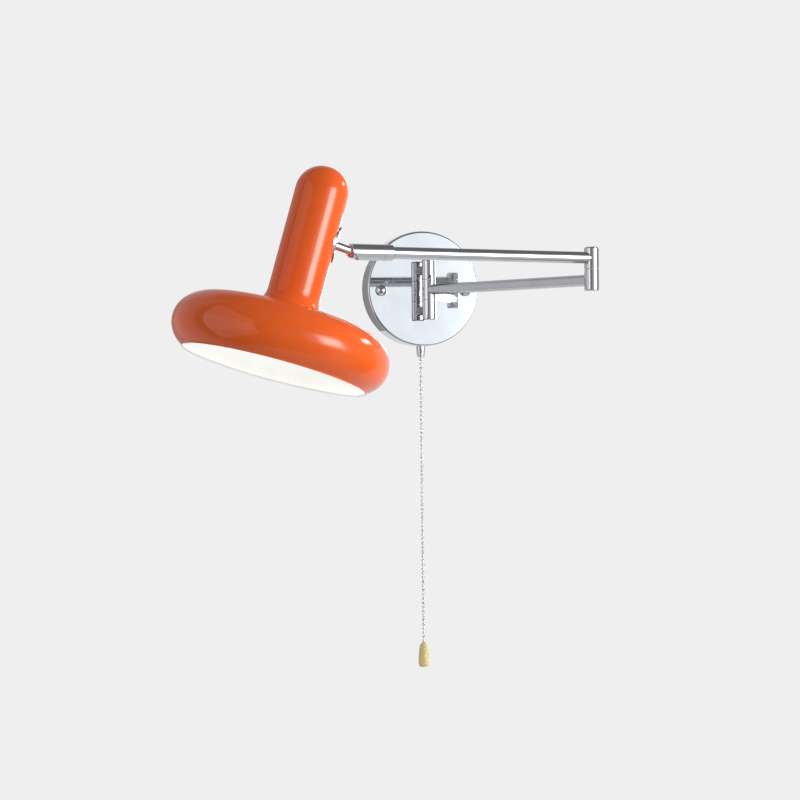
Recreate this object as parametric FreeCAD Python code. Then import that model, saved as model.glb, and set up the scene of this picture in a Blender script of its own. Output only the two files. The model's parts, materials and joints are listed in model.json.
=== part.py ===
import FreeCAD, Part
import math
import os
from FreeCAD import Placement, Rotation, Vector

# Swing arm wall lamp, in millimetres.
# The origin is the centre of the wall plate's back, on the wall.
# +X is right along the wall, +Z is up, and the lamp reaches out towards -Y.

# Clearances
running_clearance = 0.05
press_clearance = 0.02
screw_clearance = 0.2
seat_gap = 0.05

# Wall plate, a spun cup that covers the wiring
plate_diameter = 120.0
plate_depth = 24.0
plate_wall = 1.2
plate_edge_radius = 2.0

# Bracket on the wall, its studs and the dome nuts that hold the plate
bracket_length = 106.0
bracket_height = 20.0
bracket_thickness = 2.0
bracket_corner_radius = 4.0
wall_screw_distance = 60.0
wall_slot_width = 5.0
wall_slot_length = 12.0
stud_distance = 92.0
stud_diameter = 4.0
stud_shoulder_diameter = 7.0
stud_shoulder_height = 1.5
stud_reach = 4.0
cap_nut_diameter = 11.4
cap_nut_skirt = 2.2
cap_nut_height = 6.2

# Terminal block for the house wiring
terminal_pitch = 10.0
terminal_count = 3
terminal_depth = 11.0
terminal_height = 15.0
terminal_wire_hole_diameter = 3.4
terminal_screw_diameter = 3.4
terminal_screw_inset = 4.2
terminal_screw_recess = 1.0
terminal_screw_slot = 0.6

# Pull switch behind the lower rim of the plate
switch_width = 24.0
switch_depth = 15.0
switch_height = 17.0
switch_wall = 1.6
switch_corner_radius = 2.0
switch_bush_diameter = 7.0
switch_bush_bore = 4.6
switch_bush_length = 8.0
switch_flange_diameter = 11.0
nozzle_top_diameter = 9.2
nozzle_mouth_diameter = 7.4
nozzle_length = 11.5
nozzle_lip_radius = 1.0
plunger_head_diameter = 8.0
plunger_head_thickness = 2.0
plunger_neck_diameter = 3.6
pull_travel = 8.0

# Pull chain and its knob
chain_diameter = 3.2
chain_length = 301.5
knob_length = 25.0
knob_diameter = 11.4
knob_top_diameter = 3.8
knob_shoulder_diameter = 9.2
knob_bottom_diameter = 6.8
knob_belly_height = 5.0

# Joint barrels, stacked three high at the wall and two high at the elbow
barrel_diameter = 14.0
barrel_pitch = 21.0
barrel_rim_radius = 1.6
joint_washer_thickness = 0.6
joint_washer_inset = 0.3
pivot_diameter = 8.0
pivot_bore = 5.0
wire_hole_diameter = 4.0
end_cap_diameter = 10.4
end_cap_thickness = 2.4
end_cap_edge = 0.4
knuckle_reach = 19.0
knuckle_stub_diameter = 10.0
knuckle_thread_diameter = 8.0
knuckle_thread_length = 8.0
knuckle_nut_flats = 13.0
knuckle_nut_thickness = 4.0
arm_level = -2.0

# Arms
arm_tube_diameter = 11.0
arm_tube_wall = 1.0
spigot_length = 12.0
lower_arm_length = 216.0
lower_arm_angle = 62.0
upper_arm_length = 250.0
upper_arm_angle = 11.0

# Swivel socket at the end of the upper arm
sleeve_diameter = 14.5
sleeve_wall = 1.0
sleeve_length = 31.0
sleeve_lip_reach = 2.0
sleeve_cut_depth = 7.0
sleeve_cut_start = 1.0
lock_ring_length = 10.0
lock_ring_spigot = 4.0
lock_ring_chamfer = 1.2
lock_ring_groove = 0.4
arm_collar_length = 5.0
ball_seat_length = 4.5
ball_diameter = 12.2
neck_diameter = 7.5
stud_thread_diameter = 6.0
stud_bore = 3.2
shade_tilt = 17.0

# Shade, spun from sheet: a domed stem over a wide flattened bowl
shade_height = 182.6
shade_radius = 95.6
shade_wall = 1.0
stem_radius = 23.2
stem_fillet = 19.0
crown_height = 48.8
crown_radius = 66.5
belly_height = 22.3
hem_drop = 1.2
stem_gap = 19.7
attach_height = 119.6
saddle_diameter = 34.0
saddle_thickness = 1.5

# Lamp holder and its bracket inside the stem
holder_bracket_width = 16.0
holder_bracket_sheet = 1.5
holder_bracket_drop = 8.0
holder_bracket_overhang = 9.0
stud_nut_flats = 10.0
stud_nut_thickness = 3.4
stud_nut_margin = 0.6
holder_diameter = 28.0
holder_top_diameter = 18.0
holder_length = 50.0
holder_shoulder = 14.0
nipple_diameter = 10.0
nipple_bore = 7.0
nipple_engagement = 7.0
nipple_nut_flats = 14.0
nipple_nut_thickness = 3.0

# Lamp bulb with a small screw cap
bulb_diameter = 45.0
bulb_centre_drop = 69.1
bulb_neck_diameter = 28.0
bulb_base_length = 16.0
bulb_base_top_diameter = 19.0
bulb_cap_diameter = 14.0
bulb_cap_length = 20.0
bulb_contact_diameter = 7.0
bulb_contact_height = 2.0

X_AXIS = Vector(1, 0, 0)
Y_AXIS = Vector(0, 1, 0)
Z_AXIS = Vector(0, 0, 1)
FULL_TURN = 360.0
HALF_TURN = 180.0
HEX_SIDES = 6
DIAGONAL = math.cos(math.pi / 4)
TOLERANCE = 1e-4
OVERCUT = 1.0

# Worked-out sizes
barrel_radius = barrel_diameter / 2
barrel_height = barrel_pitch - joint_washer_thickness
pivot_radius = pivot_diameter / 2
tube_radius = arm_tube_diameter / 2
tube_bore_radius = tube_radius - arm_tube_wall
sleeve_radius = sleeve_diameter / 2
sleeve_bore_radius = sleeve_radius - sleeve_wall
ball_radius = ball_diameter / 2
stem_axis_x = stem_gap + stem_radius
stem_bore_radius = stem_radius - shade_wall
plate_radius = plate_diameter / 2
plate_inside_y = -plate_depth + plate_wall
chain_y = -plate_depth / 2

# Frames of the bodies, as placed in the photograph's pose
wall_frame = Placement()
knuckle_point = Vector(0, -(plate_depth + knuckle_reach), arm_level)
knuckle_frame = Placement(knuckle_point, Rotation())
lower_arm_frame = Placement(knuckle_point, Rotation(Z_AXIS, -lower_arm_angle))
elbow_point = lower_arm_frame.multVec(Vector(lower_arm_length, 0, barrel_pitch))
upper_arm_frame = Placement(elbow_point, Rotation(Z_AXIS, HALF_TURN + upper_arm_angle))
ball_frame = upper_arm_frame.multiply(Placement(Vector(upper_arm_length, 0, 0), Rotation()))
head_frame = ball_frame.multiply(Placement(Vector(), Rotation(Y_AXIS, -shade_tilt)))


def rod(radius, length, start=Vector(), axis=Z_AXIS):
    return Part.makeCylinder(radius, length, start, axis)


def tube(radius, bore_radius, length, start=Vector(), axis=Z_AXIS):
    return rod(radius, length, start, axis).cut(rod(bore_radius, length, start, axis))


def revolve(edges):
    """Solid of revolution about Z from a closed outline in the XZ plane."""
    return Part.Face(Part.Wire(edges)).revolve(Vector(), Z_AXIS, FULL_TURN)


def polyline(points):
    """Straight edges through (radius, height) points."""
    corners = [Vector(radius, 0, height) for radius, height in points]
    return [Part.LineSegment(a, b).toShape() for a, b in zip(corners, corners[1:])]


def turned(points):
    """Solid of revolution about Z with straight sides through (radius, height) points."""
    return revolve(polyline(list(points) + [points[0]]))


def arc(start, middle, end):
    points = [Vector(radius, 0, height) for radius, height in (start, middle, end)]
    return Part.Arc(*points).toShape()


def circles_at(solid, height):
    """Circular edges whose centres lie at one height."""
    return [
        edge
        for edge in solid.Edges
        if isinstance(edge.Curve, Part.Circle) and abs(edge.Curve.Center.z - height) < TOLERANCE
    ]


def edges_along(solid, axis):
    """Straight edges that run along one axis."""
    return [
        edge
        for edge in solid.Edges
        if abs(edge.tangentAt(edge.FirstParameter).dot(axis)) > 1 - TOLERANCE
    ]


def round_rim(solid, height, radius):
    return solid.makeFillet(radius, circles_at(solid, height))


def hex_nut(flats, thickness, bore_radius, start, axis):
    """Hexagonal nut by its width across flats, from a start point along an axis."""
    step = math.tau / HEX_SIDES
    corner_radius = flats / 2 / math.cos(step / 2)
    corners = [
        Vector(corner_radius * math.cos(side * step), corner_radius * math.sin(side * step), 0)
        for side in range(HEX_SIDES + 1)
    ]
    prism = Part.Face(Part.makePolygon(corners)).extrude(Vector(0, 0, thickness))
    nut = prism.cut(rod(bore_radius, thickness))
    nut.Placement = Placement(start, Rotation(Z_AXIS, axis))
    return nut


def block(width, depth, height, centre):
    corner = centre - Vector(width / 2, depth / 2, height / 2)
    return Part.makeBox(width, depth, height, corner)


def stud_places():
    return [Vector(side * stud_distance / 2, 0, arm_level) for side in (-1, 1)]


def knuckle_stub_heights():
    return [arm_level - barrel_pitch, arm_level + barrel_pitch]


def wall_plate():
    """Cup with a rounded front edge, pierced for the studs, the knuckle and the switch."""
    outside = round_rim(rod(plate_radius, plate_depth), plate_depth, plate_edge_radius)
    inside_rim = plate_depth - plate_wall
    inside = rod(plate_radius - plate_wall, inside_rim)
    inside = round_rim(inside, inside_rim, plate_edge_radius - plate_wall)
    cup = outside.cut(inside)
    cup.Placement = Placement(Vector(), Rotation(Z_AXIS, -Y_AXIS))
    front = Vector(0, -plate_depth - OVERCUT, 0)
    through = plate_wall + 2 * OVERCUT
    for place in stud_places():
        cup = cup.cut(rod(stud_diameter / 2 + screw_clearance, through, front + place, Y_AXIS))
    for height in knuckle_stub_heights():
        hole_radius = knuckle_thread_diameter / 2 + screw_clearance
        cup = cup.cut(rod(hole_radius, through, front + Vector(0, 0, height), Y_AXIS))
    rim_hole_radius = switch_bush_diameter / 2 + screw_clearance
    rim = Vector(0, chain_y, -plate_radius - OVERCUT)
    return cup.cut(rod(rim_hole_radius, through, rim))


def wall_slot(place):
    """Round-ended slot along X through the bracket, for one wall screw."""
    straight = wall_slot_length - wall_slot_width
    middle = place - Vector(0, bracket_thickness / 2, 0)
    slot = block(straight, bracket_thickness, wall_slot_width, middle)
    for side in (-1, 1):
        end = place + Vector(side * straight / 2, 0, 0)
        slot = slot.fuse(rod(wall_slot_width / 2, bracket_thickness, end, -Y_AXIS))
    return slot.removeSplitter()


def wall_bracket():
    """Flat strip with two slots for wall screws and a hole for each stud."""
    centre = Vector(0, -bracket_thickness / 2, 0)
    strip = block(bracket_length, bracket_thickness, bracket_height, centre)
    strip = strip.makeFillet(bracket_corner_radius, edges_along(strip, Y_AXIS))
    for place in stud_places():
        hole_radius = stud_diameter / 2 + press_clearance
        strip = strip.cut(rod(hole_radius, bracket_thickness, place, -Y_AXIS))
    for side in (-1, 1):
        strip = strip.cut(wall_slot(Vector(side * wall_screw_distance / 2, 0, 0)))
    return strip


def bracket_studs():
    """Threaded studs riveted into the bracket, each with a shoulder on its front."""
    studs = []
    for place in stud_places():
        shank = rod(stud_diameter / 2, plate_depth + stud_reach, place, -Y_AXIS)
        seat = place + Vector(0, -bracket_thickness, 0)
        shoulder = rod(stud_shoulder_diameter / 2, stud_shoulder_height, seat, -Y_AXIS)
        studs.append(shank.fuse(shoulder).removeSplitter())
    return Part.makeCompound(studs)


def cap_nuts():
    """Round dome nuts on the plate's face, blind bored for the studs."""
    radius = cap_nut_diameter / 2
    dome_rise = cap_nut_height - cap_nut_skirt
    sphere_radius = (radius ** 2 + dome_rise ** 2) / (2 * dome_rise)
    half_angle = math.asin(radius / sphere_radius) / 2
    middle = (
        sphere_radius * math.sin(half_angle),
        cap_nut_height - sphere_radius * (1 - math.cos(half_angle)),
    )
    bore_radius = stud_diameter / 2 + press_clearance
    outline = polyline([
        (0, stud_reach),
        (bore_radius, stud_reach),
        (bore_radius, 0),
        (radius, 0),
        (radius, cap_nut_skirt),
    ])
    outline.append(arc((radius, cap_nut_skirt), middle, (0, cap_nut_height)))
    outline += polyline([(0, cap_nut_height), (0, stud_reach)])
    nut = revolve(outline)
    nuts = []
    for place in stud_places():
        seated = nut.copy()
        seated.Placement = Placement(place + Vector(0, -plate_depth, 0), Rotation(Z_AXIS, -Y_AXIS))
        nuts.append(seated)
    return Part.makeCompound(nuts)


def terminal_places():
    offset = (terminal_count - 1) / 2
    return [Vector((index - offset) * terminal_pitch, 0, 0) for index in range(terminal_count)]


def terminal_block():
    """Strip of screw terminals seated on the bracket: wires enter above and below."""
    front_y = -bracket_thickness - terminal_depth
    centre = Vector(0, -bracket_thickness - terminal_depth / 2, 0)
    body = block(terminal_count * terminal_pitch, terminal_depth, terminal_height, centre)
    for place in terminal_places():
        entry = centre + place - Vector(0, 0, terminal_height / 2)
        body = body.cut(rod(terminal_wire_hole_diameter / 2, terminal_height, entry))
        for side in (-1, 1):
            well = place + Vector(0, front_y, side * terminal_screw_inset)
            radius = terminal_screw_diameter / 2 + press_clearance
            body = body.cut(rod(radius, terminal_depth / 2, well, Y_AXIS))
    return body


def terminal_screws():
    """Slotted grub screws in the terminal block's wells."""
    screws = []
    radius = terminal_screw_diameter / 2
    top_y = -bracket_thickness - terminal_depth + terminal_screw_recess
    length = terminal_depth / 2 - terminal_screw_recess - terminal_wire_hole_diameter / 2
    for place in terminal_places():
        for side in (-1, 1):
            top = place + Vector(0, top_y, side * terminal_screw_inset)
            screw = rod(radius, length, top, Y_AXIS)
            slot = block(2 * radius, 2 * terminal_screw_slot, terminal_screw_slot, top)
            screws.append(screw.cut(slot))
    return Part.makeCompound(screws)


def rim_inside_z():
    """Lowest height inside the plate's rim, where the switch bush passes through."""
    return -plate_radius + plate_wall


def switch_floor():
    """Underside of the switch body, as low as its corners fit inside the round rim."""
    inside_radius = plate_radius - plate_wall
    return seat_gap - math.sqrt(inside_radius ** 2 - (switch_width / 2) ** 2)


def pull_switch():
    """Moulded switch body, open inside for the plunger and bored through its floor."""
    floor = switch_floor()
    centre = Vector(0, chain_y, floor + switch_height / 2)
    body = block(switch_width, switch_depth, switch_height, centre)
    body = body.makeFillet(switch_corner_radius, edges_along(body, Z_AXIS))
    hollow = 2 * switch_wall
    cavity = block(switch_width - hollow, switch_depth - hollow, switch_height - hollow, centre)
    bore = rod(switch_bush_diameter / 2 + press_clearance, switch_wall, Vector(0, chain_y, floor))
    return body.cut(cavity).cut(bore)


def switch_bush():
    """Threaded bush: its flange sits between the switch and the rim, its end takes the nozzle."""
    foot = Vector(0, chain_y, -plate_radius - switch_bush_length)
    shank_length = switch_floor() + switch_wall - foot.z
    shank = rod(switch_bush_diameter / 2, shank_length, foot)
    flange_foot = Vector(0, chain_y, rim_inside_z())
    flange = rod(switch_flange_diameter / 2, switch_floor() - rim_inside_z(), flange_foot)
    inside_rim = rod(plate_radius - plate_wall, plate_depth, Vector(), -Y_AXIS)
    bush = shank.fuse(flange.common(inside_rim)).removeSplitter()
    return bush.cut(rod(switch_bush_bore / 2, shank_length, foot))


def chain_nozzle():
    """Tapered nozzle screwed on the bush, with a rounded mouth for the chain."""
    top = nozzle_top_diameter / 2
    mouth = nozzle_mouth_diameter / 2
    bush_radius = switch_bush_diameter / 2 + press_clearance
    bore = switch_bush_bore / 2
    shoulder = nozzle_length - switch_bush_length
    body = turned([
        (bore, 0),
        (mouth, 0),
        (top, nozzle_length - shoulder),
        (top, nozzle_length),
        (bush_radius, nozzle_length),
        (bush_radius, shoulder),
        (bore, shoulder),
    ])
    outer_rim = max(circles_at(body, 0), key=lambda edge: edge.Curve.Radius)
    body = body.makeFillet(nozzle_lip_radius, [outer_rim])
    body.translate(Vector(0, chain_y, -plate_radius - nozzle_length))
    return body


def plunger_seat():
    """Rest height of the plunger head, which leaves the pull travel below it."""
    return switch_floor() + switch_wall + pull_travel + seat_gap


def switch_plunger():
    """Headed rod that the chain draws down through the bush."""
    head_z = plunger_seat()
    head = rod(plunger_head_diameter / 2, plunger_head_thickness, Vector(0, chain_y, head_z))
    neck = rod(plunger_neck_diameter / 2, head_z - rim_inside_z(), Vector(0, chain_y, rim_inside_z()))
    return head.fuse(neck).removeSplitter()


def chain_end():
    return -plate_radius - nozzle_length - chain_length


def pull_chain():
    """Straight hanging bead chain, as one rod of the beads' diameter."""
    foot = Vector(0, chain_y, chain_end())
    return rod(chain_diameter / 2, rim_inside_z() - chain_end(), foot)


def pull_knob():
    """Bullet-shaped knob, rounded at the chain and widest near its flat foot."""
    top = knob_top_diameter / 2
    shoulder = knob_shoulder_diameter / 2
    belly = knob_diameter / 2
    bottom = knob_bottom_diameter / 2
    swell = Part.Ellipse(
        Vector(bottom, 0, 0),
        Vector(belly, 0, knob_belly_height),
        Vector(bottom, 0, knob_belly_height),
    )
    waist = (knob_belly_height + knob_length) / 2
    flank = Part.BezierCurve()
    flank.setPoles([
        Vector(belly, 0, knob_belly_height),
        Vector(belly, 0, waist),
        Vector(shoulder, 0, knob_length),
        Vector(top, 0, knob_length),
    ])
    outline = [Part.ArcOfEllipse(swell, 0, math.pi / 2).toShape(), flank.toShape()]
    outline += polyline([(top, knob_length), (0, knob_length), (0, 0), (bottom, 0)])
    knob = revolve(outline)
    knob.translate(Vector(0, chain_y, chain_end() - knob_length))
    return knob


def barrel_blank(low_round, high_round):
    """Solid joint barrel about Z, centred on the origin, with chosen rims rounded."""
    half = barrel_height / 2
    blank = rod(barrel_radius, barrel_height, Vector(0, 0, -half))
    if low_round:
        blank = round_rim(blank, -half, barrel_rim_radius)
    if high_round:
        blank = round_rim(blank, half, barrel_rim_radius)
    return blank


def barrel_bore(radius):
    return rod(radius, barrel_height, Vector(0, 0, -barrel_height / 2))


def cap_seat(side):
    """Recess for the end cap at the top (1) or bottom (-1) of a barrel."""
    radius = end_cap_diameter / 2 + press_clearance
    depth = side * (barrel_height / 2 - end_cap_thickness)
    return rod(radius, end_cap_thickness, Vector(0, 0, depth), Z_AXIS * side)


def end_cap(side):
    """Flush disc that closes a barrel, with a bevelled edge."""
    cap = rod(end_cap_diameter / 2, end_cap_thickness)
    cap = cap.makeChamfer(end_cap_edge, circles_at(cap, end_cap_thickness))
    depth = side * (barrel_height / 2 - end_cap_thickness)
    cap.Placement = Placement(Vector(0, 0, depth), Rotation(Z_AXIS, Z_AXIS * side))
    return cap


def fixed_barrel(side):
    """Wall knuckle barrel above (1) or below (-1) the arm, with a stub that screws through the plate."""
    to_plate = knuckle_reach - seat_gap
    thread_length = to_plate + plate_wall + knuckle_thread_length
    stub = rod(knuckle_stub_diameter / 2, to_plate, Vector(), Y_AXIS)
    thread = rod(knuckle_thread_diameter / 2, thread_length, Vector(), Y_AXIS)
    solid = barrel_blank(side < 0, side > 0).fuse([stub, thread]).removeSplitter()
    solid = solid.cut(barrel_bore(pivot_radius + press_clearance))
    solid = solid.cut(rod(wire_hole_diameter / 2, thread_length, Vector(), Y_AXIS))
    solid = solid.cut(cap_seat(side))
    solid.translate(knuckle_point + Vector(0, 0, side * barrel_pitch))
    return solid


def knuckle_nuts():
    """Nuts inside the plate that clamp the knuckle's two stubs."""
    bore_radius = knuckle_thread_diameter / 2 + press_clearance
    nuts = []
    for height in knuckle_stub_heights():
        seat = Vector(0, plate_inside_y, height)
        nuts.append(hex_nut(knuckle_nut_flats, knuckle_nut_thickness, bore_radius, seat, Y_AXIS))
    return Part.makeCompound(nuts)


def joint_washer(height):
    """Thin friction washer between two barrels, its middle at one height."""
    radius = barrel_radius - joint_washer_inset
    start = Vector(0, 0, height - joint_washer_thickness / 2)
    return tube(radius, pivot_radius + running_clearance, joint_washer_thickness, start)


def hollow_pivot(low, high, wire_heights):
    """Hollow pin from one height to another, pierced across for the wires."""
    pin = tube(pivot_radius, pivot_bore / 2, high - low, Vector(0, 0, low))
    for height in wire_heights:
        across = Vector(-pivot_radius, 0, height)
        pin = pin.cut(rod(wire_hole_diameter / 2, pivot_diameter, across, X_AXIS))
    return pin


def knuckle_pivot():
    reach = barrel_pitch + barrel_height / 2 - end_cap_thickness
    return hollow_pivot(-reach, reach, [0])


def elbow_pivot():
    """Pin through both elbow barrels, in the lower arm's frame at its far end."""
    low = -(barrel_height / 2 - end_cap_thickness)
    high = barrel_pitch + barrel_height / 2 - end_cap_thickness
    pin = hollow_pivot(low, high, [0, barrel_pitch])
    pin.translate(Vector(lower_arm_length, 0, 0))
    return pin


def arm_barrel(direction, low_round, high_round, bore_radius):
    """Barrel with a spigot for the arm tube, which leaves along +X (1) or -X (-1)."""
    axis = X_AXIS * direction
    reach = barrel_radius + spigot_length
    spigot = rod(tube_bore_radius - press_clearance, reach, Vector(), axis)
    solid = barrel_blank(low_round, high_round).fuse(spigot).removeSplitter()
    solid = solid.cut(barrel_bore(bore_radius))
    return solid.cut(rod(wire_hole_diameter / 2, reach, Vector(), axis))


def knuckle_middle_barrel():
    return arm_barrel(1, False, False, pivot_radius + running_clearance)


def elbow_lower_barrel():
    solid = arm_barrel(-1, True, False, pivot_radius + press_clearance).cut(cap_seat(-1))
    solid.translate(Vector(lower_arm_length, 0, 0))
    return solid


def elbow_upper_barrel():
    return arm_barrel(1, False, True, pivot_radius + running_clearance).cut(cap_seat(1))


def lower_arm_tube():
    """Tube between the knuckle and the elbow, its ends cut to the barrels."""
    solid = tube(tube_radius, tube_bore_radius, lower_arm_length, Vector(), X_AXIS)
    for end in (0, lower_arm_length):
        foot = Vector(end, 0, -barrel_height / 2)
        solid = solid.cut(rod(barrel_radius + seat_gap, barrel_height, foot))
    return solid


def lock_ring_start():
    return upper_arm_length + sleeve_lip_reach - sleeve_length - lock_ring_length


def arm_collar_start():
    return lock_ring_start() + lock_ring_length + lock_ring_spigot + seat_gap


def upper_arm_tube():
    """Tube from the elbow into the swivel socket."""
    length = arm_collar_start() + arm_collar_length
    solid = tube(tube_radius, tube_bore_radius, length, Vector(), X_AXIS)
    return solid.cut(rod(barrel_radius + seat_gap, barrel_height, Vector(0, 0, -barrel_height / 2)))


def arm_collar():
    """Collar pressed on the tube's end, which the lock ring holds in the sleeve."""
    outer = sleeve_bore_radius - running_clearance
    inner = tube_radius + press_clearance
    return tube(outer, inner, arm_collar_length, Vector(arm_collar_start(), 0, 0), X_AXIS)


def lay_along_arm(solid, start):
    """Turn a solid made about Z onto the arm's X axis."""
    solid.Placement = Placement(Vector(start, 0, 0), Rotation(Z_AXIS, X_AXIS))
    return solid


def lock_ring():
    """Ring that turns on the arm tube, bevelled towards the elbow and screwed into the sleeve."""
    bore = tube_radius + running_clearance
    spigot = sleeve_bore_radius - press_clearance
    groove = sleeve_radius - lock_ring_groove
    end = lock_ring_length + lock_ring_spigot
    ring = turned([
        (bore, 0),
        (sleeve_radius - lock_ring_chamfer, 0),
        (sleeve_radius, lock_ring_chamfer),
        (sleeve_radius, lock_ring_length - lock_ring_groove),
        (groove, lock_ring_length),
        (spigot, lock_ring_length),
        (spigot, end),
        (bore, end),
    ])
    return lay_along_arm(ring, lock_ring_start())


def socket_sleeve():
    """Sleeve that closes over the ball, with its lower lip cut away for the tilting neck."""
    start = upper_arm_length + sleeve_lip_reach - sleeve_length
    ball_at = sleeve_length - sleeve_lip_reach
    seat_radius = ball_radius + running_clearance
    mouth_radius = math.sqrt(seat_radius ** 2 - sleeve_lip_reach ** 2)
    half_way = math.asin(sleeve_lip_reach / seat_radius) / 2
    seat_middle = (seat_radius * math.cos(half_way), ball_at + seat_radius * math.sin(half_way))
    outline = polyline([
        (seat_radius, ball_at),
        (sleeve_bore_radius, ball_at),
        (sleeve_bore_radius, 0),
        (sleeve_radius, 0),
        (sleeve_radius, sleeve_length),
        (mouth_radius, sleeve_length),
    ])
    outline.append(arc((mouth_radius, sleeve_length), seat_middle, (seat_radius, ball_at)))
    sleeve = lay_along_arm(revolve(outline), start)
    end = start + sleeve_length
    wedge = Part.Face(Part.makePolygon([
        Vector(end, -sleeve_radius, -sleeve_cut_start),
        Vector(end - sleeve_cut_depth, -sleeve_radius, -sleeve_radius),
        Vector(end, -sleeve_radius, -sleeve_radius),
        Vector(end, -sleeve_radius, -sleeve_cut_start),
    ])).extrude(Vector(0, sleeve_diameter, 0))
    return sleeve.cut(wedge)


def ball_seat():
    """Threaded follower behind the ball, dished to bear on it."""
    back = -ball_radius - ball_seat_length / 2
    outer = sleeve_bore_radius - press_clearance
    ring = tube(outer, stud_bore, ball_seat_length, Vector(back, 0, 0), X_AXIS)
    ring = ring.cut(Part.makeSphere(ball_radius + running_clearance))
    ring.translate(Vector(upper_arm_length, 0, 0))
    return ring


def swivel_ball():
    """Ball, neck and hollow threaded stud that carry the shade."""
    ball = Part.makeSphere(ball_radius)
    neck = rod(neck_diameter / 2, stem_gap - saddle_thickness, Vector(), X_AXIS)
    stud_end = bracket_face_x() + holder_bracket_sheet + stud_nut_thickness + stud_nut_margin
    stud = rod(stud_thread_diameter / 2, stud_end, Vector(), X_AXIS)
    solid = ball.fuse([neck, stud]).removeSplitter()
    bore_start = Vector(-ball_radius, 0, 0)
    return solid.cut(rod(stud_bore / 2, stud_end + ball_radius, bore_start, X_AXIS))


def shade_profile(inset):
    """Outline edges from the dome's top to the rim, set in from the outside by a distance."""
    stem = stem_radius - inset
    dome_centre = shade_height - stem_radius
    top = crown_height - inset
    fillet = stem_fillet + inset
    half_width = shade_radius - crown_radius - inset
    half_height = crown_height - belly_height - inset
    dome_bend = (stem * DIAGONAL, dome_centre + stem * DIAGONAL)
    edges = [arc((0, dome_centre + stem), dome_bend, (stem, dome_centre))]
    edges += polyline([(stem, dome_centre), (stem, top + fillet)])
    corner = stem + fillet
    bend = (corner - fillet * DIAGONAL, top + fillet - fillet * DIAGONAL)
    edges.append(arc((stem, top + fillet), bend, (corner, top)))
    edges += polyline([(corner, top), (crown_radius, top)])
    centre = Vector(crown_radius, 0, belly_height)
    bowl = Part.Ellipse(centre + Vector(half_width, 0, 0), centre + Vector(0, 0, half_height), centre)
    rim_turn = -math.asin(belly_height / half_height)
    edges.append(Part.ArcOfEllipse(bowl, rim_turn, math.pi / 2).toShape())
    rim_radius = crown_radius + half_width * math.cos(rim_turn)
    return edges, rim_radius


def in_head(solid):
    """Move a solid from the shade's own axis, with its rim at zero height, to the ball's frame."""
    solid.translate(Vector(stem_axis_x, 0, -attach_height))
    return solid


def shade():
    """Spun shell with a rolled hem at the rim and a hole in the stem for the swivel stud."""
    outside, outer_rim = shade_profile(0)
    inside, inner_rim = shade_profile(shade_wall)
    hem = arc((outer_rim, 0), ((outer_rim + inner_rim) / 2, -hem_drop), (inner_rim, 0))
    outline = outside + [hem] + inside
    outline += polyline([(0, shade_height), (0, shade_height - shade_wall)])
    shell = in_head(revolve(Part.sortEdges(outline)[0]))
    hole_radius = stud_thread_diameter / 2 + screw_clearance
    return shell.cut(rod(hole_radius, stem_axis_x, Vector(), X_AXIS))


def saddle_plate():
    """Round washer bent to the stem, between the neck and the shade."""
    half = saddle_diameter / 2
    foot = Vector(stem_axis_x, 0, -half)
    ring = tube(stem_radius + saddle_thickness, stem_radius, saddle_diameter, foot)
    patch = ring.common(rod(half, stem_axis_x, Vector(), X_AXIS))
    return patch.cut(rod(stud_thread_diameter / 2 + screw_clearance, stem_axis_x, Vector(), X_AXIS))


def bracket_face_x():
    """Where the flat leg of the holder bracket bears on the curved inside of the stem."""
    reach = math.sqrt(stem_bore_radius ** 2 - (holder_bracket_width / 2) ** 2)
    return stem_axis_x - reach + seat_gap


def bulb_centre():
    """The bulb hangs from the swivel stud, by its holder and the bracket."""
    return attach_height - bulb_centre_drop


def bulb_clearance_below():
    """Height of the bulb's lowest point over the rim."""
    return bulb_centre() - bulb_diameter / 2


def bulb_base_bottom():
    """Height where the round bulb meets its base."""
    return bulb_centre() + math.sqrt(bulb_diameter ** 2 - bulb_neck_diameter ** 2) / 2


def bulb_base_top():
    return bulb_base_bottom() + bulb_base_length


def holder_bottom():
    return bulb_base_top() + seat_gap


def holder_top():
    return holder_bottom() + holder_length


def holder_bracket():
    """Bent strip: one leg under the stud nut, the other over the lamp holder."""
    face = bracket_face_x()
    sheet = holder_bracket_sheet
    half = holder_bracket_width / 2
    shelf_z = holder_top() - attach_height
    leg_foot = Vector(face, -half, -holder_bracket_drop)
    leg_length = shelf_z + sheet + holder_bracket_drop
    leg = Part.makeBox(sheet, holder_bracket_width, leg_length, leg_foot)
    shelf_length = stem_axis_x + holder_bracket_overhang - face
    shelf = Part.makeBox(shelf_length, holder_bracket_width, sheet, Vector(face, -half, shelf_z))
    strip = leg.fuse(shelf).removeSplitter()
    strip = strip.cut(rod(stud_thread_diameter / 2 + screw_clearance, stem_axis_x, Vector(), X_AXIS))
    nipple_hole = rod(nipple_diameter / 2 + screw_clearance, sheet, Vector(stem_axis_x, 0, shelf_z))
    return strip.cut(nipple_hole)


def stud_nut():
    seat = Vector(bracket_face_x() + holder_bracket_sheet, 0, 0)
    bore_radius = stud_thread_diameter / 2 + press_clearance
    return hex_nut(stud_nut_flats, stud_nut_thickness, bore_radius, seat, X_AXIS)


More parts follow.
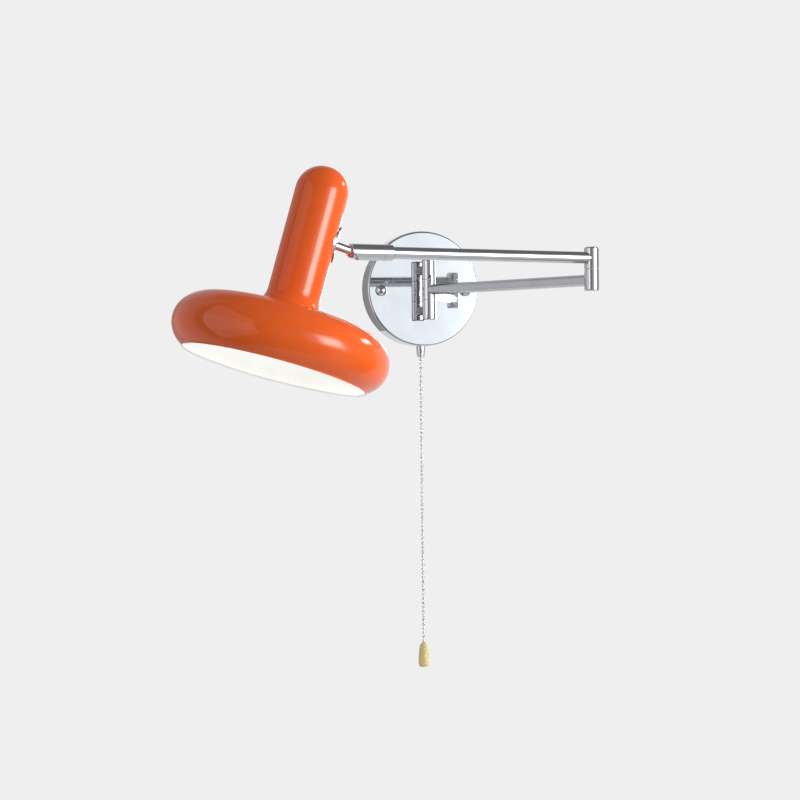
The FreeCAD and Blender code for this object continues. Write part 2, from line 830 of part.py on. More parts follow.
def lamp_holder():
    """Screw-cap holder: a shouldered moulding, threaded above for the nipple."""
    bottom = holder_bottom()
    top = holder_top()
    cap_radius = bulb_cap_diameter / 2 + press_clearance
    cap_top = bulb_base_top() + bulb_cap_length + bulb_contact_height + seat_gap
    nipple_radius = nipple_diameter / 2 + press_clearance
    nipple_foot = top - nipple_engagement
    wire_radius = nipple_bore / 2
    return in_head(turned([
        (cap_radius, bottom),
        (holder_diameter / 2, bottom),
        (holder_diameter / 2, top - holder_shoulder),
        (holder_top_diameter / 2, top),
        (nipple_radius, top),
        (nipple_radius, nipple_foot),
        (wire_radius, nipple_foot),
        (wire_radius, cap_top),
        (cap_radius, cap_top),
    ]))


def holder_nipple():
    """Hollow threaded nipple between the holder and its bracket."""
    foot = holder_top() - nipple_engagement
    length = nipple_engagement + holder_bracket_sheet + nipple_nut_thickness
    return in_head(tube(nipple_diameter / 2, nipple_bore / 2, length, Vector(0, 0, foot)))


def nipple_nut():
    seat = Vector(0, 0, holder_top() + holder_bracket_sheet)
    bore_radius = nipple_diameter / 2 + press_clearance
    return in_head(hex_nut(nipple_nut_flats, nipple_nut_thickness, bore_radius, seat, Z_AXIS))


def bulb_globe():
    """Round diffuser, cut flat where its base begins."""
    globe = Part.makeSphere(bulb_diameter / 2, Vector(0, 0, bulb_centre()))
    height = bulb_base_bottom() - bulb_clearance_below()
    keep = rod(bulb_diameter, height, Vector(0, 0, bulb_clearance_below()))
    return in_head(globe.common(keep))


def bulb_base():
    """Tapered base between the diffuser and the screw cap."""
    foot = Vector(0, 0, bulb_base_bottom())
    neck_radius = bulb_neck_diameter / 2
    return in_head(Part.makeCone(neck_radius, bulb_base_top_diameter / 2, bulb_base_length, foot))


def bulb_cap():
    """Screw cap with its end contact."""
    foot = bulb_base_top()
    shell = rod(bulb_cap_diameter / 2, bulb_cap_length, Vector(0, 0, foot))
    contact = rod(bulb_contact_diameter / 2, bulb_contact_height, Vector(0, 0, foot + bulb_cap_length))
    return in_head(shell.fuse(contact).removeSplitter())


def knuckle_caps():
    """Caps that close the top and bottom of the wall knuckle."""
    caps = []
    for side in (-1, 1):
        cap = end_cap(side)
        cap.translate(knuckle_point + Vector(0, 0, side * barrel_pitch))
        caps.append(cap)
    return Part.makeCompound(caps)


def knuckle_washers():
    washers = [joint_washer(side * barrel_pitch / 2) for side in (-1, 1)]
    return Part.makeCompound(washers)


def elbow_bottom_cap():
    cap = end_cap(-1)
    cap.translate(Vector(lower_arm_length, 0, 0))
    return cap


def elbow_washer():
    washer = joint_washer(barrel_pitch / 2)
    washer.translate(Vector(lower_arm_length, 0, 0))
    return washer


pieces = [
    ("wall_plate", wall_plate(), wall_frame),
    ("wall_bracket", wall_bracket(), wall_frame),
    ("bracket_studs", bracket_studs(), wall_frame),
    ("cap_nuts", cap_nuts(), wall_frame),
    ("terminal_block", terminal_block(), wall_frame),
    ("terminal_screws", terminal_screws(), wall_frame),
    ("pull_switch", pull_switch(), wall_frame),
    ("switch_bush", switch_bush(), wall_frame),
    ("chain_nozzle", chain_nozzle(), wall_frame),
    ("switch_plunger", switch_plunger(), wall_frame),
    ("pull_chain", pull_chain(), wall_frame),
    ("pull_knob", pull_knob(), wall_frame),
    ("knuckle_upper_barrel", fixed_barrel(1), wall_frame),
    ("knuckle_lower_barrel", fixed_barrel(-1), wall_frame),
    ("knuckle_nuts", knuckle_nuts(), wall_frame),
    ("knuckle_pivot", knuckle_pivot(), knuckle_frame),
    ("knuckle_caps", knuckle_caps(), wall_frame),
    ("knuckle_washers", knuckle_washers(), knuckle_frame),
    ("knuckle_middle_barrel", knuckle_middle_barrel(), lower_arm_frame),
    ("lower_arm_tube", lower_arm_tube(), lower_arm_frame),
    ("elbow_lower_barrel", elbow_lower_barrel(), lower_arm_frame),
    ("elbow_pivot", elbow_pivot(), lower_arm_frame),
    ("elbow_bottom_cap", elbow_bottom_cap(), lower_arm_frame),
    ("elbow_washer", elbow_washer(), lower_arm_frame),
    ("elbow_upper_barrel", elbow_upper_barrel(), upper_arm_frame),
    ("elbow_top_cap", end_cap(1), upper_arm_frame),
    ("upper_arm_tube", upper_arm_tube(), upper_arm_frame),
    ("arm_collar", arm_collar(), upper_arm_frame),
    ("lock_ring", lock_ring(), upper_arm_frame),
    ("socket_sleeve", socket_sleeve(), upper_arm_frame),
    ("ball_seat", ball_seat(), upper_arm_frame),
    ("swivel_ball", swivel_ball(), head_frame),
    ("saddle_plate", saddle_plate(), head_frame),
    ("shade", shade(), head_frame),
    ("holder_bracket", holder_bracket(), head_frame),
    ("stud_nut", stud_nut(), head_frame),
    ("lamp_holder", lamp_holder(), head_frame),
    ("holder_nipple", holder_nipple(), head_frame),
    ("nipple_nut", nipple_nut(), head_frame),
    ("bulb_globe", bulb_globe(), head_frame),
    ("bulb_base", bulb_base(), head_frame),
    ("bulb_cap", bulb_cap(), head_frame),
]

os.makedirs("parts", exist_ok=True)
for name, shape, frame in pieces:
    placed = shape.copy()
    placed.Placement = frame.multiply(placed.Placement)
    placed.exportStep(os.path.join("parts", name + ".step"))
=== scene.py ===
import bmesh
import bpy
import json
import math
from mathutils import Matrix, Vector


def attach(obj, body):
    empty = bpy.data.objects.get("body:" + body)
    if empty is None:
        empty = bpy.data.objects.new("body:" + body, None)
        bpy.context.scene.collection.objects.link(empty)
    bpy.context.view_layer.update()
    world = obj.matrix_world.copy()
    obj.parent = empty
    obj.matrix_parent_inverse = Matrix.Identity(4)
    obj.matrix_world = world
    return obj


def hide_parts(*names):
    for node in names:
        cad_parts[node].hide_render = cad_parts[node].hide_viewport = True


# Swing arm wall lamp, in metres: chrome plate, arms and swivel, a lit enamel shade and a bead chain.

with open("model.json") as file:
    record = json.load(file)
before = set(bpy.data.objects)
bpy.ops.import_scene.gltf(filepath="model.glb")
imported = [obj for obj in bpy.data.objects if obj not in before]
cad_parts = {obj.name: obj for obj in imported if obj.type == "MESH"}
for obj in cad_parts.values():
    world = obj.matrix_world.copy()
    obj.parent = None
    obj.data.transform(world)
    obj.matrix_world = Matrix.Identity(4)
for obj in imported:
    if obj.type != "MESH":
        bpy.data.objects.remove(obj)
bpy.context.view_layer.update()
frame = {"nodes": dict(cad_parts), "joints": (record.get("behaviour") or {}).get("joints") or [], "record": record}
nodes = frame["nodes"]
joints = {joint["name"]: joint for joint in frame["joints"]}

# Camera, at the place the photograph was taken from. Its lens and sensor are in millimetres.
CAMERA_PLACE = Vector((-0.5225, -1.7129, -0.0854))
CAMERA_YAW = math.radians(16.356)
CAMERA_PITCH = math.radians(-0.994)
CAMERA_ROLL = math.radians(-0.621)
CAMERA_LENS = 76.02
CAMERA_SENSOR = 36.0

# Shade, about its own upright axis with the rim at zero height
SHADE_TILT = math.radians(17.0)
SHADE_HEIGHT = 0.1826
SHADE_RADIUS = 0.0956
SHADE_WALL = 0.001
STEM_RADIUS = 0.0232
STEM_FILLET = 0.019
STEM_GAP = 0.0197  # from the ball's centre to the stem
CROWN_HEIGHT = 0.0488  # top of the bowl
CROWN_RADIUS = 0.0665
BELLY_HEIGHT = 0.0223  # where the bowl is widest
HEM_DROP = 0.0012
ATTACH_HEIGHT = 0.1196  # where the line of the ball's neck crosses the axis
SHADE_SEGMENTS = 192
ARC_STEPS = 20
BOWL_STEPS = 64
STEM_STEPS = 24
HEM_STEPS = 14
ON_AXIS = 1e-7  # a profile point with a smaller radius is on the axis

# Bead chain, straight down from inside the nozzle to the knob
CHAIN_ROUTE = [
    Vector((0.0, -0.012, -0.0588)),
    Vector((0.0, -0.012, -0.0715)),
    Vector((0.0, -0.012, -0.2200)),
    Vector((0.0, -0.012, -0.3730)),
]
BEAD_DIAMETER = 0.0032
BEAD_PITCH = 0.0045
LINK_DIAMETER = 0.0010
BEAD_SEGMENTS = 16
BEAD_RINGS = 10
LINK_SEGMENTS = 8

# Stretch of a noise pattern's values over which a finish goes from its low to its high end
PATTERN_START = 0.3
PATTERN_END = 0.7

# Screw thread of the studs
THREAD_SCALE = 450.0
THREAD_DEPTH = 0.0003

# Studio
AIM = Vector((-0.10, -0.24, -0.05))
BACKGROUND = (0.863, 0.863, 0.863, 1.0)
AMBIENT_STRENGTH = 0.30
FLOOR_HEIGHT = -1.25
FLOOR_RADIUS = 2.2
FLOOR_SOLID_RADIUS = FLOOR_RADIUS / 3
FLOOR_SEGMENTS = 96
FLOOR_COLOUR = (0.75, 0.75, 0.75, 1.0)
FLOOR_ROUGHNESS = 0.9
DOME_RADIUS = 9.0
DOME_SUBDIVISIONS = 4
DOME_BASE = (0.17, 0.175, 0.18)
LIGHT_DISTANCE = 2.6

# Area lights. Azimuth is in degrees from straight in front towards the right, elevation is above the
# horizon, size is width and height, and level is what the light adds to a white surface facing it.
LIGHTS = {
    "right_light": {
        "azimuth": 92.0, "elevation": 8.0, "size": (1.6, 1.9), "level": 0.95, "colour": (1.0, 0.985, 0.97),
    },
    "front_light": {
        "azimuth": 25.0, "elevation": 10.0, "size": (1.4, 1.4), "level": 0.79, "colour": (1.0, 1.0, 1.0),
    },
    "left_light": {
        "azimuth": -122.0, "elevation": 6.0, "size": (1.2, 1.6), "level": 0.41, "colour": (1.0, 1.0, 1.0),
    },
}

# Patches of the dome that the metal and the enamel mirror: limits of azimuth and of elevation, measured
# as for the lights, how many degrees each pair of edges fades over, and the radiance that the patch adds,
# or takes away where it is negative. A limit beyond half a turn, or beyond straight up or down, has no edge.
PATCHES = {
    "softbox": ((28, 52), (-8, 14), (14, 18), (13.4, 13.0, 12.7)),
    "softbox_left_edge": ((21, 30), (-14, 18), (6, 12), (0.85, 0.84, 0.82)),
    "softbox_surround": ((10, 64), (-14, 16), (10, 14), (1.08, 1.15, 1.20)),
    "front_haze": ((-24, 12), (-12, 18), (10, 12), (0.20, 0.205, 0.21)),
    "front_right_wall": ((24, 62), (-60, 34), (16, 14), (0.50, 0.51, 0.52)),
    "back_left_wall": ((-200, -112), (-57, 50), (24, 16), (0.15, 0.15, 0.155)),
    "back_left_low": ((-200, -116), (-62, -30), (16, 14), (0.36, 0.36, 0.36)),
    "back_right_high": ((150, 200), (14, 52), (16, 14), (0.36, 0.36, 0.37)),
    "back_left_high": ((-200, -145), (18, 52), (24, 14), (0.24, 0.24, 0.245)),
    "right_wall": ((62, 106), (-12, 40), (10, 16), (0.12, 0.12, 0.13)),
    "right_shadow": ((74, 102), (-48, -6), (12, 14), (-0.10, -0.10, -0.10)),
    "right_low": ((62, 106), (-60, -38), (12, 12), (0.16, 0.16, 0.16)),
    "right_glint": ((99, 116), (19, 25), (6, 5), (12.5, 11.9, 11.3)),
    "back_right_wall": ((106, 200), (-57, 16), (10, 14), (0.62, 0.63, 0.64)),
    "below": ((-200, 200), (-120, -57), (20, 12), (0.56, 0.56, 0.56)),
    "above": ((-200, 60), (50, 120), (20, 20), (0.06, 0.06, 0.065)),
}

# White boards that stand at the lamp's left. Near and far are the upright edges on the plan, heights are
# those of the bottom and the top, and between the bright heights, which fade over a soft margin, the
# radiance is higher by the gain.
BOARDS = {
    "front_board": {
        "near": (-1.08, -0.175), "far": (-1.78, -2.10), "heights": (-0.80, 1.02),
        "bright": (-0.40, 0.32), "soft": 0.12, "radiance": (0.85, 0.87, 0.91), "gain": 0.50,
    },
    "back_board": {
        "near": (-0.686, -0.14), "far": (-0.96, 1.77), "heights": (-1.00, 1.05),
        "bright": (-0.50, 0.50), "soft": 0.60, "radiance": (0.52, 0.525, 0.535), "gain": 0.12,
    },
}


def nodes_of(owner):
    """Shader nodes of a material or a world."""
    return owner.node_tree.nodes


def add_node(owner, kind, **settings):
    node = nodes_of(owner).new(kind)
    for name, value in settings.items():
        setattr(node, name, value)
    return node


def join(owner, output, socket):
    owner.node_tree.links.new(output, socket)


def calculate(owner, operation, *inputs):
    """Output of a maths node whose inputs are numbers or other nodes' outputs."""
    step = add_node(owner, "ShaderNodeMath", operation=operation)
    for socket, value in zip(step.inputs, inputs):
        if isinstance(value, (int, float)):
            socket.default_value = value
        else:
            join(owner, value, socket)
    return step.outputs["Value"]


def own_place(material):
    """Place on the surface, in the piece's own coordinates."""
    return add_node(material, "ShaderNodeTexCoord").outputs["Object"]


def shader_socket(material, name):
    return nodes_of(material)["Principled BSDF"].inputs[name]


def principled(name, settings):
    """Principled material with its constant settings on the shader's own sockets."""
    material = bpy.data.materials.new(name)
    material.use_nodes = True
    for socket, value in settings.items():
        shader_socket(material, socket).default_value = value
    return material


def grain(material, scale, detail=4.0, stretch=(1.0, 1.0, 1.0)):
    """Noise over the piece's own coordinates, in cycles per metre, stretched along its axes."""
    mapping = add_node(material, "ShaderNodeMapping")
    mapping.inputs["Scale"].default_value = stretch
    noise = add_node(material, "ShaderNodeTexNoise")
    noise.inputs["Scale"].default_value = scale
    noise.inputs["Detail"].default_value = detail
    join(material, own_place(material), mapping.inputs["Vector"])
    join(material, mapping.outputs["Vector"], noise.inputs["Vector"])
    return noise.outputs["Fac"]


def vary_value(material, pattern, socket, low, high):
    """A socket that runs from low to high with the pattern."""
    spread = add_node(material, "ShaderNodeMapRange")
    spread.inputs["From Min"].default_value = PATTERN_START
    spread.inputs["From Max"].default_value = PATTERN_END
    spread.inputs["To Min"].default_value = low
    spread.inputs["To Max"].default_value = high
    join(material, pattern, spread.inputs["Value"])
    join(material, spread.outputs["Result"], shader_socket(material, socket))


def vary_colour(material, pattern, low, high):
    """Base colour that runs from low to high with the pattern."""
    ramp = add_node(material, "ShaderNodeValToRGB")
    first, last = ramp.color_ramp.elements
    first.position = PATTERN_START
    first.color = (*low, 1.0)
    last.position = PATTERN_END
    last.color = (*high, 1.0)
    join(material, pattern, ramp.inputs["Fac"])
    join(material, ramp.outputs["Color"], shader_socket(material, "Base Color"))


def raise_surface(material, pattern, depth):
    """Bump of a real depth in metres."""
    bump = add_node(material, "ShaderNodeBump")
    bump.inputs["Distance"].default_value = depth
    join(material, pattern, bump.inputs["Height"])
    join(material, bump.outputs["Normal"], shader_socket(material, "Normal"))


def chrome(name, clean, smeared):
    """Chrome with faint handling marks, by its roughness where it is clean and where it is smeared."""
    material = principled(name, {"Metallic": 1.0})
    smears = grain(material, scale=55.0, detail=6.0)
    vary_colour(material, smears, low=(0.595, 0.605, 0.62), high=(0.645, 0.655, 0.67))
    vary_value(material, smears, "Roughness", low=clean, high=smeared)
    return material


def orange_peel(material):
    """Slight unevenness of fired enamel."""
    raise_surface(material, grain(material, scale=420.0, detail=2.0), depth=0.00002)


def orange_enamel():
    """Glossy enamel of the shade's outside."""
    material = principled("orange_enamel", {"IOR": 1.4})
    mottle = grain(material, scale=60.0)
    vary_colour(material, mottle, low=(0.740, 0.107, 0.0160), high=(0.780, 0.116, 0.0185))
    vary_value(material, grain(material, scale=140.0), "Roughness", low=0.05, high=0.08)
    orange_peel(material)
    return material


def white_enamel():
    """Satin enamel of the shade's inside."""
    material = principled("white_enamel", {"IOR": 1.5})
    mottle = grain(material, scale=70.0)
    vary_colour(material, mottle, low=(0.90, 0.89, 0.87), high=(0.93, 0.92, 0.90))
    vary_value(material, grain(material, scale=150.0), "Roughness", low=0.30, high=0.42)
    orange_peel(material)
    return material


def diffuser():
    """Frosted bulb, lit."""
    material = principled("lit_diffuser", {
        "Emission Color": (0.99, 1.0, 1.0, 1.0),
        "Emission Strength": 6.4,
    })
    frost = grain(material, scale=260.0)
    vary_colour(material, frost, low=(0.90, 0.88, 0.84), high=(0.96, 0.95, 0.92))
    vary_value(material, frost, "Roughness", low=0.45, high=0.60)
    return material


def cream_plastic():
    """Waxy moulded knob with slow swirls of colour."""
    material = principled("cream_plastic", {
        "IOR": 1.42,
        "Subsurface Weight": 0.4,
        "Subsurface Scale": 0.004,
        "Subsurface Radius": (1.0, 0.85, 0.6),
    })
    swirls = grain(material, scale=110.0, detail=2.0, stretch=(1.0, 1.0, 0.3))
    vary_colour(material, swirls, low=(0.615, 0.50, 0.235), high=(0.655, 0.54, 0.275))
    vary_value(material, grain(material, scale=200.0), "Roughness", low=0.48, high=0.58)
    raise_surface(material, grain(material, scale=500.0, detail=2.0), depth=0.00001)
    return material


def zinc_steel():
    """Zinc plated steel with a rolled grain and a faint passivation tint."""
    material = principled("zinc_steel", {"Metallic": 1.0})
    tint = grain(material, scale=45.0, detail=3.0)
    vary_colour(material, tint, low=(0.52, 0.55, 0.58), high=(0.64, 0.63, 0.60))
    rolled = grain(material, scale=500.0, detail=3.0, stretch=(0.08, 1.0, 1.0))
    vary_value(material, rolled, "Roughness", low=0.28, high=0.45)
    raise_surface(material, rolled, depth=0.00003)
    return material


def threaded_steel():
    """Zinc plated steel with a fine screw thread along Y."""
    material = principled("threaded_steel", {"Metallic": 1.0})
    tint = grain(material, scale=60.0, detail=3.0)
    vary_colour(material, tint, low=(0.50, 0.53, 0.56), high=(0.62, 0.61, 0.58))
    vary_value(material, grain(material, scale=400.0), "Roughness", low=0.28, high=0.42)
    turns = add_node(material, "ShaderNodeTexWave", bands_direction="Y")
    turns.inputs["Scale"].default_value = THREAD_SCALE
    join(material, own_place(material), turns.inputs["Vector"])
    raise_surface(material, turns.outputs["Fac"], depth=THREAD_DEPTH)
    return material


def nickel():
    """Dull nickel plate of the bead chain."""
    material = principled("nickel_chain", {"Metallic": 1.0})
    tarnish = grain(material, scale=300.0)
    vary_colour(material, tarnish, low=(0.765, 0.76, 0.75), high=(0.835, 0.83, 0.82))
    vary_value(material, grain(material, scale=500.0), "Roughness", low=0.50, high=0.62)
    return material


def brass():
    material = principled("brass", {"Metallic": 1.0})
    tarnish = grain(material, scale=120.0)
    vary_colour(material, tarnish, low=(0.62, 0.41, 0.14), high=(0.76, 0.54, 0.22))
    vary_value(material, grain(material, scale=260.0), "Roughness", low=0.22, high=0.38)
    return material


def moulded(name, low, high):
    """Moulded plastic with a fine spark-eroded texture, between two colours."""
    material = principled(name, {"IOR": 1.48})
    vary_colour(material, grain(material, scale=90.0), low, high)
    texture = grain(material, scale=1400.0, detail=2.0)
    vary_value(material, texture, "Roughness", low=0.38, high=0.52)
    raise_surface(material, texture, depth=0.00005)
    return material


# Finish of each material slot, and of the nodes that differ from their slot
FINISHES = {
    "chrome": chrome("polished_chrome", clean=0.018, smeared=0.055),
    "zinc_steel": zinc_steel(),
    "orange_enamel": orange_enamel(),
    "brass": brass(),
    "white_plastic": moulded("white_plastic", low=(0.76, 0.75, 0.71), high=(0.82, 0.81, 0.78)),
    "dark_plastic": moulded("dark_plastic", low=(0.018, 0.018, 0.019), high=(0.030, 0.030, 0.032)),
    "nylon": moulded("nylon", low=(0.46, 0.455, 0.44), high=(0.54, 0.535, 0.52)),
    "diffuser": diffuser(),
    "cream_plastic": cream_plastic(),
}
SPECIAL_FINISHES = {
    "chain_nozzle": chrome("satin_chrome", clean=0.20, smeared=0.28),
    "bracket_studs": threaded_steel(),
}


def dress_nodes():
    """Every CAD node takes its own finish, or that of its slot in the record."""
    for part in frame["record"]["subparts"]:
        name = part["node"]
        material = SPECIAL_FINISHES.get(name, FINISHES[part["material_slot"]])
        nodes[name].data.materials.clear()
        nodes[name].data.materials.append(material)


def add_object(name, data):
    """Object in the scene that shows a mesh, a camera or a light."""
    carrier = bpy.data.objects.new(name, data)
    bpy.context.scene.collection.objects.link(carrier)
    return carrier


def mesh_of(name, shape):
    """Mesh made from a bmesh, which is then freed."""
    mesh = bpy.data.meshes.new(name)
    shape.to_mesh(mesh)
    shape.free()
    return mesh


def arc_points(centre, radii, start, end, steps):
    """(radius, height) points along an ellipse arc, from one angle to another, both included."""
    turns = [start + (end - start) * step / steps for step in range(steps + 1)]
    return [
        (centre[0] + radii[0] * math.cos(turn), centre[1] + radii[1] * math.sin(turn))
        for turn in turns
    ]


def shade_profile(inset):
    """Points from the dome's top to the rim, set in from the outside by a distance."""
    quarter = math.pi / 2
    stem = STEM_RADIUS - inset
    fillet = STEM_FILLET + inset
    dome_centre = SHADE_HEIGHT - STEM_RADIUS
    stem_foot = CROWN_HEIGHT - inset + fillet
    bowl_centre = (CROWN_RADIUS, BELLY_HEIGHT)
    bowl_radii = (SHADE_RADIUS - CROWN_RADIUS - inset, CROWN_HEIGHT - BELLY_HEIGHT - inset)
    rim_turn = -math.asin(BELLY_HEIGHT / bowl_radii[1])
    points = arc_points((0.0, dome_centre), (stem, stem), quarter, 0.0, ARC_STEPS)
    points += [
        (stem, dome_centre + (stem_foot - dome_centre) * step / STEM_STEPS)
        for step in range(1, STEM_STEPS)
    ]
    points += arc_points(
        (stem + fillet, stem_foot), (fillet, fillet), math.pi, math.pi + quarter, ARC_STEPS,
    )
    points += arc_points(bowl_centre, bowl_radii, quarter, rim_turn, BOWL_STEPS)
    return points


def hem_profile(outer, inner):
    """Round bead between the ends of the two profiles, from the outside round to the inside."""
    half = (outer - inner) / 2
    radius = (half ** 2 + HEM_DROP ** 2) / (2 * HEM_DROP)
    centre = ((outer + inner) / 2, radius - HEM_DROP)
    start = math.atan2(-centre[1], half)
    bead = arc_points(centre, (radius, radius), start, -math.pi - start, HEM_STEPS)
    return bead[1:-1]


def lathe(name, profile, material_of, segments):
    """Mesh turned about Z from a profile that starts and ends on the axis."""
    shape = bmesh.new()
    turns = [math.tau * step / segments for step in range(segments)]
    rings = []
    for radius, height in profile:
        if radius < ON_AXIS:
            rings.append([shape.verts.new((0.0, 0.0, height))])
            continue
        rings.append([
            shape.verts.new((radius * math.cos(turn), radius * math.sin(turn), height))
            for turn in turns
        ])
    for index, (upper, lower) in enumerate(zip(rings, rings[1:])):
        for step in range(segments):
            following = (step + 1) % segments
            corners = [upper[step % len(upper)], lower[step % len(lower)]]
            if len(lower) > 1:
                corners.append(lower[following])
            if len(upper) > 1:
                corners.append(upper[following])
            face = shape.faces.new(corners)
            face.smooth = True
            face.material_index = material_of(index)
    bmesh.ops.recalc_face_normals(shape, faces=shape.faces)
    return mesh_of(name, shape)


def head_matrix():
    """From the shade's own axis to its place in the lamp, by the swivel's two joints."""
    ball = Vector(joints["shade_tilt"]["pos_m"])
    arm = Vector(joints["socket_roll"]["axis"])
    up = Vector((0.0, 0.0, 1.0))
    out = math.cos(SHADE_TILT) * arm + math.sin(SHADE_TILT) * up
    axis = math.cos(SHADE_TILT) * up - math.sin(SHADE_TILT) * arm
    across = axis.cross(out)
    matrix = Matrix((out, across, axis)).transposed().to_4x4()
    matrix.translation = ball + (STEM_GAP + STEM_RADIUS) * out - ATTACH_HEIGHT * axis
    return matrix


def make_shade():
    """Spun shade with a rolled hem, orange outside and white inside."""
    outside = shade_profile(0.0)
    inside = shade_profile(SHADE_WALL)
    hem = hem_profile(outside[-1][0], inside[-1][0])
    orange_rings = len(outside) + HEM_STEPS // 2 - 1
    mesh = lathe(
        "enamel_shade", outside + hem + inside[::-1],
        material_of=lambda index: int(index >= orange_rings), segments=SHADE_SEGMENTS,
    )
    mesh.materials.append(FINISHES["orange_enamel"])
    mesh.materials.append(white_enamel())
    mesh.transform(head_matrix())
    piece = add_object("enamel_shade", mesh)
    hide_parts("shade")
    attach(piece, "head")


def route_line(points):
    """Points along the smooth curve that a route's points control."""
    curve = bpy.data.curves.new("chain_route", "CURVE")
    curve.dimensions = "3D"
    spline = curve.splines.new("NURBS")
    spline.points.add(len(points) - 1)
    for target, point in zip(spline.points, points):
        target.co = (*point, 1.0)
    spline.order_u = 3
    spline.use_endpoint_u = True
    carrier = bpy.data.objects.new("chain_route", curve)
    mesh = bpy.data.meshes.new_from_object(carrier)
    line = [vertex.co.copy() for vertex in mesh.vertices]
    bpy.data.meshes.remove(mesh)
    bpy.data.curves.remove(curve)
    return line


def along(line, distance):
    """Point at a distance along a line of points, and the line's direction there."""
    for start, end in zip(line, line[1:]):
        step = (end - start).length
        if distance <= step or end is line[-1]:
            direction = (end - start).normalized()
            return start + direction * distance, direction
        distance -= step


def line_length(line):
    return sum((end - start).length for start, end in zip(line, line[1:]))


def make_chain():
    """Ball chain: beads joined by short wire links."""
    line = route_line(CHAIN_ROUTE)
    length = line_length(line)
    count = int(length / BEAD_PITCH) + 1
    offset = (length - (count - 1) * BEAD_PITCH) / 2
    shape = bmesh.new()
    for index in range(count):
        place, direction = along(line, offset + index * BEAD_PITCH)
        turn = direction.to_track_quat("Z", "Y").to_matrix().to_4x4()
        bead = Matrix.Translation(place) @ turn
        bmesh.ops.create_uvsphere(
            shape, u_segments=BEAD_SEGMENTS, v_segments=BEAD_RINGS, radius=BEAD_DIAMETER / 2, matrix=bead,
        )
        if index + 1 < count:
            link = Matrix.Translation(place + direction * BEAD_PITCH / 2) @ turn
            bmesh.ops.create_cone(
                shape, cap_ends=False, segments=LINK_SEGMENTS, radius1=LINK_DIAMETER / 2,
                radius2=LINK_DIAMETER / 2, depth=BEAD_PITCH - BEAD_DIAMETER / 2, matrix=link,
            )
    for face in shape.faces:
        face.smooth = True
    mesh = mesh_of("bead_chain", shape)
    mesh.materials.append(nickel())
    piece = add_object("bead_chain", mesh)
    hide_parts("pull_chain")
    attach(piece, "pull")


def make_camera():
    camera = bpy.data.cameras.new("camera")
    camera.lens = CAMERA_LENS
    camera.sensor_width = CAMERA_SENSOR
    level = math.cos(CAMERA_PITCH)
    forward = Vector((
        math.sin(CAMERA_YAW) * level, math.cos(CAMERA_YAW) * level, math.sin(CAMERA_PITCH),
    ))
    right = Vector((math.cos(CAMERA_YAW), -math.sin(CAMERA_YAW), 0.0))
    up = right.cross(forward)
    rolled_right = math.cos(CAMERA_ROLL) * right + math.sin(CAMERA_ROLL) * up
    rolled_up = math.cos(CAMERA_ROLL) * up - math.sin(CAMERA_ROLL) * right
    matrix = Matrix((rolled_right, rolled_up, -forward)).transposed().to_4x4()
    matrix.translation = CAMERA_PLACE
    carrier = add_object("camera", camera)
    carrier.matrix_world = matrix
    bpy.context.scene.camera = carrier


def make_world():
    """Plain pale backdrop, and a softer ambient light on the surfaces themselves."""
    world = bpy.data.worlds.new("studio")
    world.use_nodes = True
    bpy.context.scene.world = world
    backdrop = nodes_of(world)["Background"]
    backdrop.inputs["Color"].default_value = BACKGROUND
    rays = add_node(world, "ShaderNodeLightPath")
    seen = rays.outputs["Is Camera Ray"]
    for name in ("Is Glossy Ray", "Is Transmission Ray"):
        seen = calculate(world, "MAXIMUM", seen, rays.outputs[name])
    strength = add_node(world, "ShaderNodeMapRange")
    strength.inputs["To Min"].default_value = AMBIENT_STRENGTH
    join(world, seen, strength.inputs["Value"])
    join(world, strength.outputs["Result"], backdrop.inputs["Strength"])


def direction_from(azimuth, elevation):
    """Unit vector at an azimuth from the front towards the right, and an elevation, in degrees."""
    turn = math.radians(azimuth)
    rise = math.radians(elevation)
    level = math.cos(rise)
    return Vector((math.sin(turn) * level, -math.cos(turn) * level, math.sin(rise)))


def make_light(name, azimuth, elevation, size, level, colour):
    """Soft area light towards the lamp, unseen in reflections."""
    light = bpy.data.lights.new(name, "AREA")
    light.shape = "RECTANGLE"
    light.size, light.size_y = size
    light.energy = level * (math.pi * LIGHT_DISTANCE) ** 2
    light.color = colour
    carrier = add_object(name, light)
    away = direction_from(azimuth, elevation)
    carrier.location = AIM + away * LIGHT_DISTANCE
    carrier.rotation_mode = "QUATERNION"
    carrier.rotation_quaternion = away.to_track_quat("Z", "Y")
    carrier.visible_camera = False
    carrier.visible_glossy = False


def fade(material, value, start, end):
    """From 0 where a value is at the start, smoothly to 1 where it is at the end."""
    ramp = add_node(material, "ShaderNodeMapRange", interpolation_type="SMOOTHSTEP")
    ramp.inputs["From Min"].default_value = start
    ramp.inputs["From Max"].default_value = end
    join(material, value, ramp.inputs["Value"])
    return ramp.outputs["Result"]


def window(material, value, limits, soft):
    """1 between the limits of a value and 0 beyond them, with a soft margin centred on each limit."""
    low, high = limits
    half = soft / 2
    rise = fade(material, value, low - half, low + half)
    fall = fade(material, value, high + half, high - half)
    return calculate(material, "MULTIPLY", rise, fall)


def glow_material(name):
    """Material that only gives off light, and its emission node."""
    material = bpy.data.materials.new(name)
    material.use_nodes = True
    nodes_of(material).clear()
    glow = add_node(material, "ShaderNodeEmission")
    output = add_node(material, "ShaderNodeOutputMaterial")
    join(material, glow.outputs["Emission"], output.inputs["Surface"])
    return material, glow


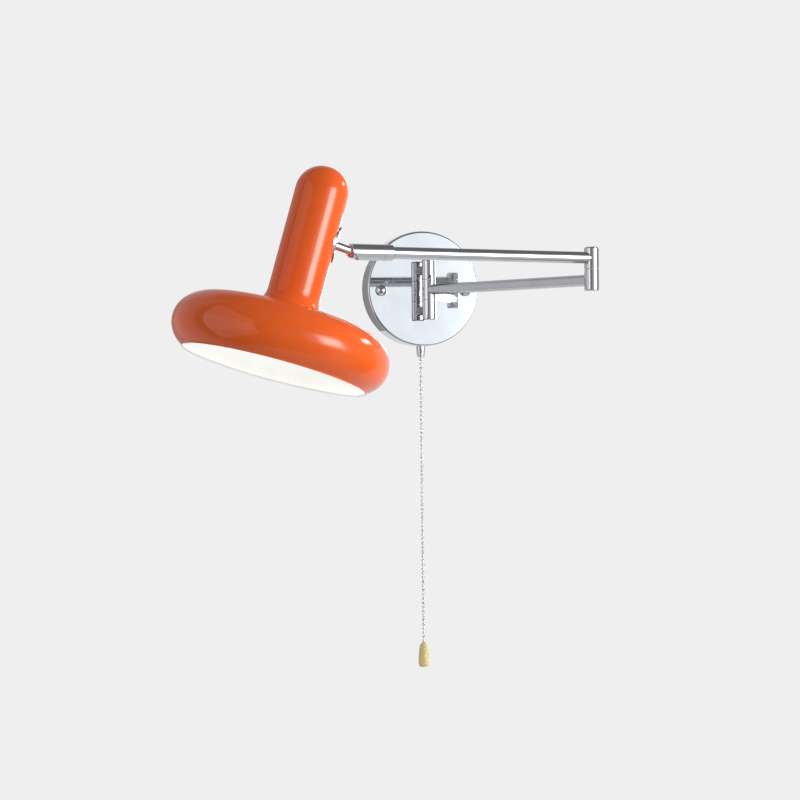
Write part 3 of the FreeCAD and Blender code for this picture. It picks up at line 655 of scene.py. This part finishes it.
def dome_material():
    """Light by direction: soft patches on a dark surround."""
    material, glow = glow_material("studio_dome")
    unit = add_node(material, "ShaderNodeVectorMath", operation="NORMALIZE")
    split = add_node(material, "ShaderNodeSeparateXYZ")
    join(material, own_place(material), unit.inputs[0])
    join(material, unit.outputs["Vector"], split.inputs["Vector"])
    front = calculate(material, "MULTIPLY", split.outputs["Y"], -1.0)
    azimuth = calculate(material, "DEGREES", calculate(material, "ARCTAN2", split.outputs["X"], front))
    elevation = calculate(material, "DEGREES", calculate(material, "ARCSINE", split.outputs["Z"]))
    total = None
    for sides, heights, soft, radiance in PATCHES.values():
        across = window(material, azimuth, sides, soft[0])
        upward = window(material, elevation, heights, soft[1])
        tint = add_node(material, "ShaderNodeVectorMath", operation="SCALE")
        tint.inputs[0].default_value = radiance
        join(material, calculate(material, "MULTIPLY", across, upward), tint.inputs["Scale"])
        summed = add_node(material, "ShaderNodeVectorMath", operation="ADD")
        join(material, tint.outputs["Vector"], summed.inputs[0])
        if total is None:
            summed.inputs[1].default_value = DOME_BASE
        else:
            join(material, total, summed.inputs[1])
        total = summed.outputs["Vector"]
    join(material, total, glow.inputs["Color"])
    return material


def only_in_reflections(piece):
    """Studio piece that is hidden from everything except reflections."""
    for seen_by in ("camera", "diffuse", "transmission", "volume_scatter", "shadow"):
        setattr(piece, "visible_" + seen_by, False)


def make_dome():
    """Far dome that only shows in reflections."""
    shape = bmesh.new()
    bmesh.ops.create_icosphere(shape, subdivisions=DOME_SUBDIVISIONS, radius=DOME_RADIUS)
    mesh = mesh_of("studio_dome", shape)
    mesh.materials.append(dome_material())
    dome = add_object("studio_dome", mesh)
    dome.location = AIM
    only_in_reflections(dome)


def make_board(name, near, far, heights, bright, soft, radiance, gain):
    """Upright board with a brighter stretch, that only shows in reflections."""
    bottom, top = heights
    mesh = bpy.data.meshes.new(name)
    mesh.from_pydata(
        [(*near, bottom), (*far, bottom), (*far, top), (*near, top)], [], [(0, 1, 2, 3)],
    )
    material, glow = glow_material(name)
    glow.inputs["Color"].default_value = (*radiance, 1.0)
    split = add_node(material, "ShaderNodeSeparateXYZ")
    join(material, own_place(material), split.inputs["Vector"])
    middle = window(material, split.outputs["Z"], bright, soft)
    join(material, calculate(material, "MULTIPLY_ADD", middle, gain, 1.0), glow.inputs["Strength"])
    mesh.materials.append(material)
    only_in_reflections(add_object(name, mesh))


def make_floor():
    """Round pale floor far below the lamp, fading out towards its edge."""
    shape = bmesh.new()
    bmesh.ops.create_circle(shape, cap_ends=True, segments=FLOOR_SEGMENTS, radius=FLOOR_RADIUS)
    mesh = mesh_of("floor", shape)
    material = principled("pale_floor", {"Roughness": FLOOR_ROUGHNESS, "Base Color": FLOOR_COLOUR})
    distance = add_node(material, "ShaderNodeVectorMath", operation="LENGTH")
    join(material, own_place(material), distance.inputs[0])
    solid = fade(material, distance.outputs["Value"], FLOOR_RADIUS, FLOOR_SOLID_RADIUS)
    join(material, solid, shader_socket(material, "Alpha"))
    mesh.materials.append(material)
    floor = add_object("floor", mesh)
    floor.location = (AIM.x, AIM.y, FLOOR_HEIGHT)
    floor.visible_glossy = False


dress_nodes()
make_shade()
make_chain()
make_camera()
make_world()
make_dome()
for board, settings in BOARDS.items():
    make_board(board, **settings)
make_floor()
for light, settings in LIGHTS.items():
    make_light(light, **settings)
bpy.context.scene.view_settings.view_transform = "Standard"
